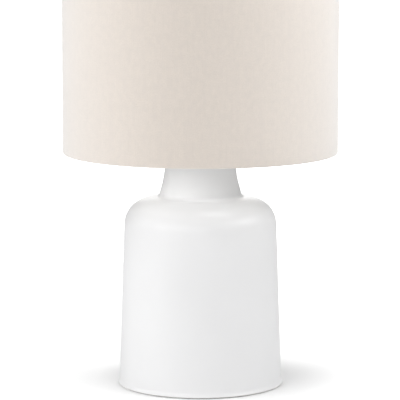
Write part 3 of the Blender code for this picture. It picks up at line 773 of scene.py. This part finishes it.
def make_retaining_ring():
    """Fluted ring nut with a threaded bore and chamfered mouths."""
    low, high = (corner[2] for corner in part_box("retaining_ring"))
    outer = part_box("retaining_ring")[1][0]
    block = [(RING_BORE, low), (outer, low), (outer, high), (RING_BORE, high)]
    outline = subdivided(fine(block, 0.8 * MM), 0.3 * MM)

    def fluted(angle, radius, height):
        outside = fade(radius, RING_BORE + 1.5 * MM, BEYOND, 2.0 * MM)
        hollow = 0.5 - 0.5 * math.cos(RING_FLUTES * angle)
        grip = FLUTE_DEPTH * hollow ** 2 * outside * fade(height, low, high, 1.5 * MM)
        inside = 1.0 - fade(radius, RING_BORE + 0.4 * MM, BEYOND, 0.1 * MM)
        groove = RING_THREAD_DEPTH * inside * (1.0 - helix(angle, height, THREAD_PITCH))
        return radius - grip + groove * fade(height, low, high, 1.2 * MM), height

    ring = spun_mesh("retaining_ring", outline, 360, fluted)
    place("clamping_ring", ring, LOOKS["thermoset"], "retaining_ring")


def tube_mesh(name, points, radius, sides=16):
    """A round tube along points in the XZ plane, closed at both ends."""
    work = bmesh.new()
    rings = []
    for index, point in enumerate(points):
        before = points[max(index - 1, 0)]
        after = points[min(index + 1, len(points) - 1)]
        along = (after - before).normalized()
        up = along.cross(ALONG_Y)
        ring = []
        for step in range(sides):
            angle = math.tau * step / sides
            out = ALONG_Y * math.cos(angle) + up * math.sin(angle)
            ring.append(work.verts.new(point + radius * out))
        rings.append(ring)
    for first, second in zip(rings, rings[1:]):
        for step in range(sides):
            after = (step + 1) % sides
            work.faces.new((first[step], first[after], second[after], second[step]))
    for ring in (rings[0], rings[-1]):
        work.faces.new(ring)
    return finished_mesh(name, work)


def smooth_path(corners, radius, steps):
    """Points along straight runs whose corners are rounded by a radius."""
    path = [corners[0]]
    for before, corner, after in zip(corners, corners[1:], corners[2:]):
        into = (before - corner).normalized() * radius
        away = (after - corner).normalized() * radius
        for step in range(steps + 1):
            t = step / steps
            path.append(corner + into * (1 - t) ** 2 + away * t * t)
    path.append(corners[-1])
    return path


# The arms: their numbers, wire radius, the drop's distance from the axis, and the two bends.
ARMS = (1, 2, 3)
ARM_RADIUS = 1.6 * MM
ARM_DROP = 166.35 * MM
ARM_BEND = 15.0 * MM
ARM_BEND_STEPS = 14
TOE_BEND = 2.6 * MM
TOE_BEND_STEPS = 4
# How far the arm's ends run into the fitter's ring and the bottom wire ring, and how far above
# its toe the lower bend is.
ARM_IN_RING = 2.2 * MM
TOE_IN_WIRE = 3.0 * MM
ANKLE_RISE = 3.0 * MM


def make_arm(index):
    """One arm: welded on the fitter's ring, out level, down the wall and into the bottom hem."""
    node = f"fitter_arm_{index}"
    height = middle("fitter_ring").z
    toe_height = middle("bottom_wire_ring").z
    root = Vector((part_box("fitter_ring")[1][0] - ARM_IN_RING, 0.0, height))
    elbow = Vector((ARM_DROP, 0.0, height))
    ankle = Vector((ARM_DROP, 0.0, toe_height + ANKLE_RISE))
    toe = Vector((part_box("bottom_wire_ring")[1][0] - TOE_IN_WIRE, 0.0, toe_height))
    upper = smooth_path([root, elbow, ankle], ARM_BEND, ARM_BEND_STEPS)
    lower = smooth_path([elbow, ankle, toe], TOE_BEND, TOE_BEND_STEPS)
    mesh = tube_mesh(node, upper[:-1] + lower[1:], ARM_RADIUS)
    turn = Matrix.Rotation(math.radians(90.0) + math.tau * (index - 1) / len(ARMS), 4, "Z")
    place(f"shade_arm_{index}", mesh, LOOKS["white_enamel"], node, turn)


# The linen's overlap at the back, its step, and how far the cloth waves in and out.
SEAM_WIDTH = 10.0 * MM
SEAM_STEP = 0.7 * MM
CLOTH_WAVE = 0.25 * MM


def make_shade():
    """Linen rolled over the wire rings, its overlap at the back, on the styrene liner."""
    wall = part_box("shade_fabric")[1][0]

    def lapped(angle, radius, height):
        off = (angle - math.pi / 2) * wall
        lap = fade(off, -SEAM_WIDTH / 2, SEAM_WIDTH / 2, 0.5 * MM)
        outside = fade(radius, wall - 0.3 * MM, BEYOND, 0.2 * MM)
        wander = drift(angle, height, 1.4, 8.4)
        return radius + outside * SEAM_STEP * lap + CLOTH_WAVE * wander, height

    outline = fine(section("shade_fabric"), edge=0.2 * MM, corner=62.0, turn=20.0)
    outline = subdivided(outline, 20.0 * MM)
    fabric = place("linen_shade", spun_mesh("linen_shade", outline, 960, lapped), LOOKS["linen"],
                   "shade_fabric")
    turned("liner_drum", "shade_liner", "styrene", 256, 0.15 * MM)
    for name, node in (("bottom_ring", "bottom_wire_ring"), ("top_ring", "top_wire_ring")):
        ring = respun(node, 192, 0.2 * MM, corner=62.0)
        place(name, ring, LOOKS["plated_wire"], node)


# ---------------------------------------------------------------- bulb

CAP_THREAD_DEPTH = 0.9 * MM


def make_bulb():
    """LED bulb: threaded cap, glass insulator, tip, plastic body, opal globe and LED board."""
    low, high = (corner[2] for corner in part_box("bulb_cap"))
    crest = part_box("bulb_cap")[1][0]

    def rolled(angle, radius, height):
        if radius < crest - 1.2 * MM:
            return radius, height
        groove = 1.0 - helix(angle, height, E27_PITCH)
        held = fade(height, low + 2.4 * MM, high - 2.5 * MM, 1.5 * MM)
        return radius - CAP_THREAD_DEPTH * groove * held, height

    cap = respun("bulb_cap", 128, 0.3 * MM, shape=rolled, longest=0.35 * MM)
    place("threaded_cap", cap, LOOKS["nickel"], "bulb_cap")
    turned("cap_glass", "bulb_insulator", "black_glass", 64, 0.5 * MM)
    turned("tip_contact", "bulb_tip", "nickel", 48, 0.4 * MM)
    turned("bulb_shell", "bulb_housing", "bulb_plastic", 128, 0.5 * MM)
    place("opal_globe", respun("bulb_globe", 128, 0.4 * MM, turn=6.0), LOOKS["opal"], "bulb_globe")
    turned("led_disc", "led_board", "board", 96, 0.3 * MM)


# ---------------------------------------------------------------- carried-over CAD nodes

KEPT = {
    "pipe_lock_washer": "zinc_steel",
    "pipe_nut": "zinc_steel",
    "neck_nut": "zinc_steel",
    "centre_contact": "brass",
    "driver_board": "board",
}


def soften_kept():
    """Nodes whose own shape is right get small round edges and a real finish."""
    for node, look in KEPT.items():
        piece = frame["nodes"][node]
        bevel = piece.modifiers.new("edge", "BEVEL")
        bevel.width = 0.3 * MM
        bevel.segments = 2
        bevel.limit_method = "ANGLE"
        bevel.angle_limit = math.radians(40.0)
        piece.data.materials.clear()
        piece.data.materials.append(LOOKS[look])


# ---------------------------------------------------------------- studio

# Softboxes as azimuth from the camera's side (positive to the right), elevation and watts.
SOFTBOXES = {
    "front": (0.0, 10.0, 6.7),
    "front_left": (-30.0, 15.0, 11.0),
    "left_low": (-60.0, 10.0, 11.5),
    "left_side": (-95.0, 15.0, 7.0),
    "left_high": (-95.0, 50.0, 11.5),
    "right_front": (60.0, 30.0, 4.5),
    "right_side": (95.0, 30.0, 5.5),
    "right_high": (95.0, 50.0, 6.0),
    "overhead": (80.0, 75.0, 17.0),
    "behind": (180.0, 10.0, 6.0),
}
SOFTBOX_DISTANCE = 2.4
SOFTBOX_SIZE = 0.9
SOFTBOX_AIM = Vector((0.0, 0.0, 0.25))
# A smaller light beside the shade, which brightens its upper right.
SIDE_LIGHT = (75.0, 20.0, 2.4)
SIDE_LIGHT_AIM = Vector((0.0, 0.0, 0.5))
SIDE_LIGHT_DISTANCE = 0.9
SIDE_LIGHT_SIZE = 0.35
AMBIENT = 0.30
FLOOR_RADIUS = 12.0
FLOOR_STEPS = 96
FLOOR_GAP = 0.1 * MM
# The floor's glow grows away from the shadow's middle in two bands, each given as the distances
# where it starts and ends and its strength at each. The near band dims the glow round the foot,
# a painted shadow over the real one; the far band makes the floor evenly white.
SHADOW_CENTRE = (0.03, 0.03)
NEAR_GLOW_PAINTED_SHADOW = (0.085, 0.165, 0.01, 0.30)
FAR_GLOW = (0.16, 0.9, 0.0, 0.75)
WHITE = (1.0, 1.0, 1.0, 1.0)


def floor_look():
    """Pale paper that glows to the camera, dimmed round the lamp in a painted shadow over the real one,
    and is clear from below.
    """
    look = Look("studio_floor", (0.75, 0.75, 0.75), 0.9, sockets={"Specular IOR Level": 0.0})
    x, y, _ = look.axes()
    aside = look.math("SUBTRACT", x, SHADOW_CENTRE[0])
    behind = look.math("SUBTRACT", y, SHADOW_CENTRE[1])
    squares = look.math("ADD", look.math("MULTIPLY", aside, aside), look.math("MULTIPLY", behind, behind))
    away = look.math("SQRT", squares)
    # The glow is least near the lamp: a painted shadow that deepens the real one.
    glow = look.math("ADD", look.band(away, *NEAR_GLOW_PAINTED_SHADOW), look.band(away, *FAR_GLOW))
    camera_only = look.nodes.new("ShaderNodeLightPath").outputs["Is Camera Ray"]
    look.shader.inputs["Emission Color"].default_value = WHITE
    look.feed(look.shader.inputs["Emission Strength"], look.math("MULTIPLY", glow, camera_only))
    from_below = look.nodes.new("ShaderNodeNewGeometry").outputs["Backfacing"]
    clear = look.nodes.new("ShaderNodeBsdfTransparent").outputs[0]
    either = look.nodes.new("ShaderNodeMixShader")
    look.feed(either.inputs["Fac"], from_below)
    look.feed(either.inputs[1], look.shader.outputs[0])
    look.feed(either.inputs[2], clear)
    look.feed(look.nodes["Material Output"].inputs["Surface"], either.outputs[0])
    return look.material


def circle(work, radius):
    """A level circle of vertices round the origin."""
    turns = [math.tau * step / FLOOR_STEPS for step in range(FLOOR_STEPS)]
    return [work.verts.new((radius * math.cos(turn), radius * math.sin(turn), 0.0)) for turn in turns]


def make_floor():
    """A wide round floor, open under the foot, so that the felt is lit from there."""
    work = bmesh.new()
    inner = circle(work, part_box("felt_pad")[1][0])
    outer = circle(work, FLOOR_RADIUS)
    for step in range(FLOOR_STEPS):
        after = (step + 1) % FLOOR_STEPS
        work.faces.new((inner[step], outer[step], outer[after], inner[after]))
    mesh = bpy.data.meshes.new("studio_floor")
    work.to_mesh(mesh)
    work.free()
    mesh.materials.append(floor_look())
    floor = bpy.data.objects.new("studio_floor", mesh)
    floor.location.z = -FLOOR_GAP
    bpy.context.collection.objects.link(floor)


def make_world():
    """A white backdrop that gives less light than it shows."""
    world = bpy.data.worlds.new("studio")
    world.use_nodes = True
    bpy.context.scene.world = world
    nodes = world.node_tree.nodes
    links = world.node_tree.links
    lighting = nodes["Background"]
    lighting.inputs["Color"].default_value = WHITE
    lighting.inputs["Strength"].default_value = AMBIENT
    backdrop = nodes.new("ShaderNodeBackground")
    backdrop.inputs["Color"].default_value = WHITE
    mix = nodes.new("ShaderNodeMixShader")
    path = nodes.new("ShaderNodeLightPath")
    links.new(path.outputs["Is Camera Ray"], mix.inputs["Fac"])
    links.new(lighting.outputs[0], mix.inputs[1])
    links.new(backdrop.outputs[0], mix.inputs[2])
    links.new(mix.outputs[0], nodes["World Output"].inputs["Surface"])


def make_softbox(name, azimuth, elevation, watts, aim=SOFTBOX_AIM, distance=SOFTBOX_DISTANCE,
                 size=SOFTBOX_SIZE):
    """A square soft light, pointed at its aim and out of the camera's sight."""
    light = bpy.data.lights.new(name, "AREA")
    light.shape = "SQUARE"
    light.size = size
    light.energy = watts
    lamp = bpy.data.objects.new(name, light)
    turn = math.radians(azimuth)
    rise = math.radians(elevation)
    away = Vector((math.sin(turn) * math.cos(rise), -math.cos(turn) * math.cos(rise), math.sin(rise)))
    lamp.location = aim + away * distance
    lamp.rotation_euler = (-away).to_track_quat("-Z", "Y").to_euler()
    lamp.visible_camera = False
    bpy.context.collection.objects.link(lamp)


def make_studio():
    """Floor, backdrop and lights."""
    make_floor()
    make_world()
    for name, (azimuth, elevation, watts) in SOFTBOXES.items():
        make_softbox(name, azimuth, elevation, watts)
    make_softbox("shade_side", *SIDE_LIGHT, SIDE_LIGHT_AIM, SIDE_LIGHT_DISTANCE, SIDE_LIGHT_SIZE)


def make_camera():
    """The camera in front of the lamp, looking a little down."""
    camera = bpy.data.cameras.new("camera")
    camera.lens = CAMERA_LENS
    camera.sensor_width = CAMERA_SENSOR
    eye = bpy.data.objects.new("camera", camera)
    away = Vector((0.0, -math.cos(CAMERA_ELEVATION), math.sin(CAMERA_ELEVATION)))
    eye.location = CAMERA_TARGET + away * CAMERA_DISTANCE
    eye.rotation_euler = (-away).to_track_quat("-Z", "Y").to_euler()
    bpy.context.collection.objects.link(eye)
    bpy.context.scene.camera = eye
    bpy.context.scene.view_settings.view_transform = "Standard"


def build():
    """The whole scene, the camera first."""
    make_camera()
    make_ceramic()
    make_felt()
    make_hardware()
    make_lampholder()
    make_switch()
    make_fitting()
    make_shade()
    make_bulb()
    soften_kept()
    make_studio()


build()
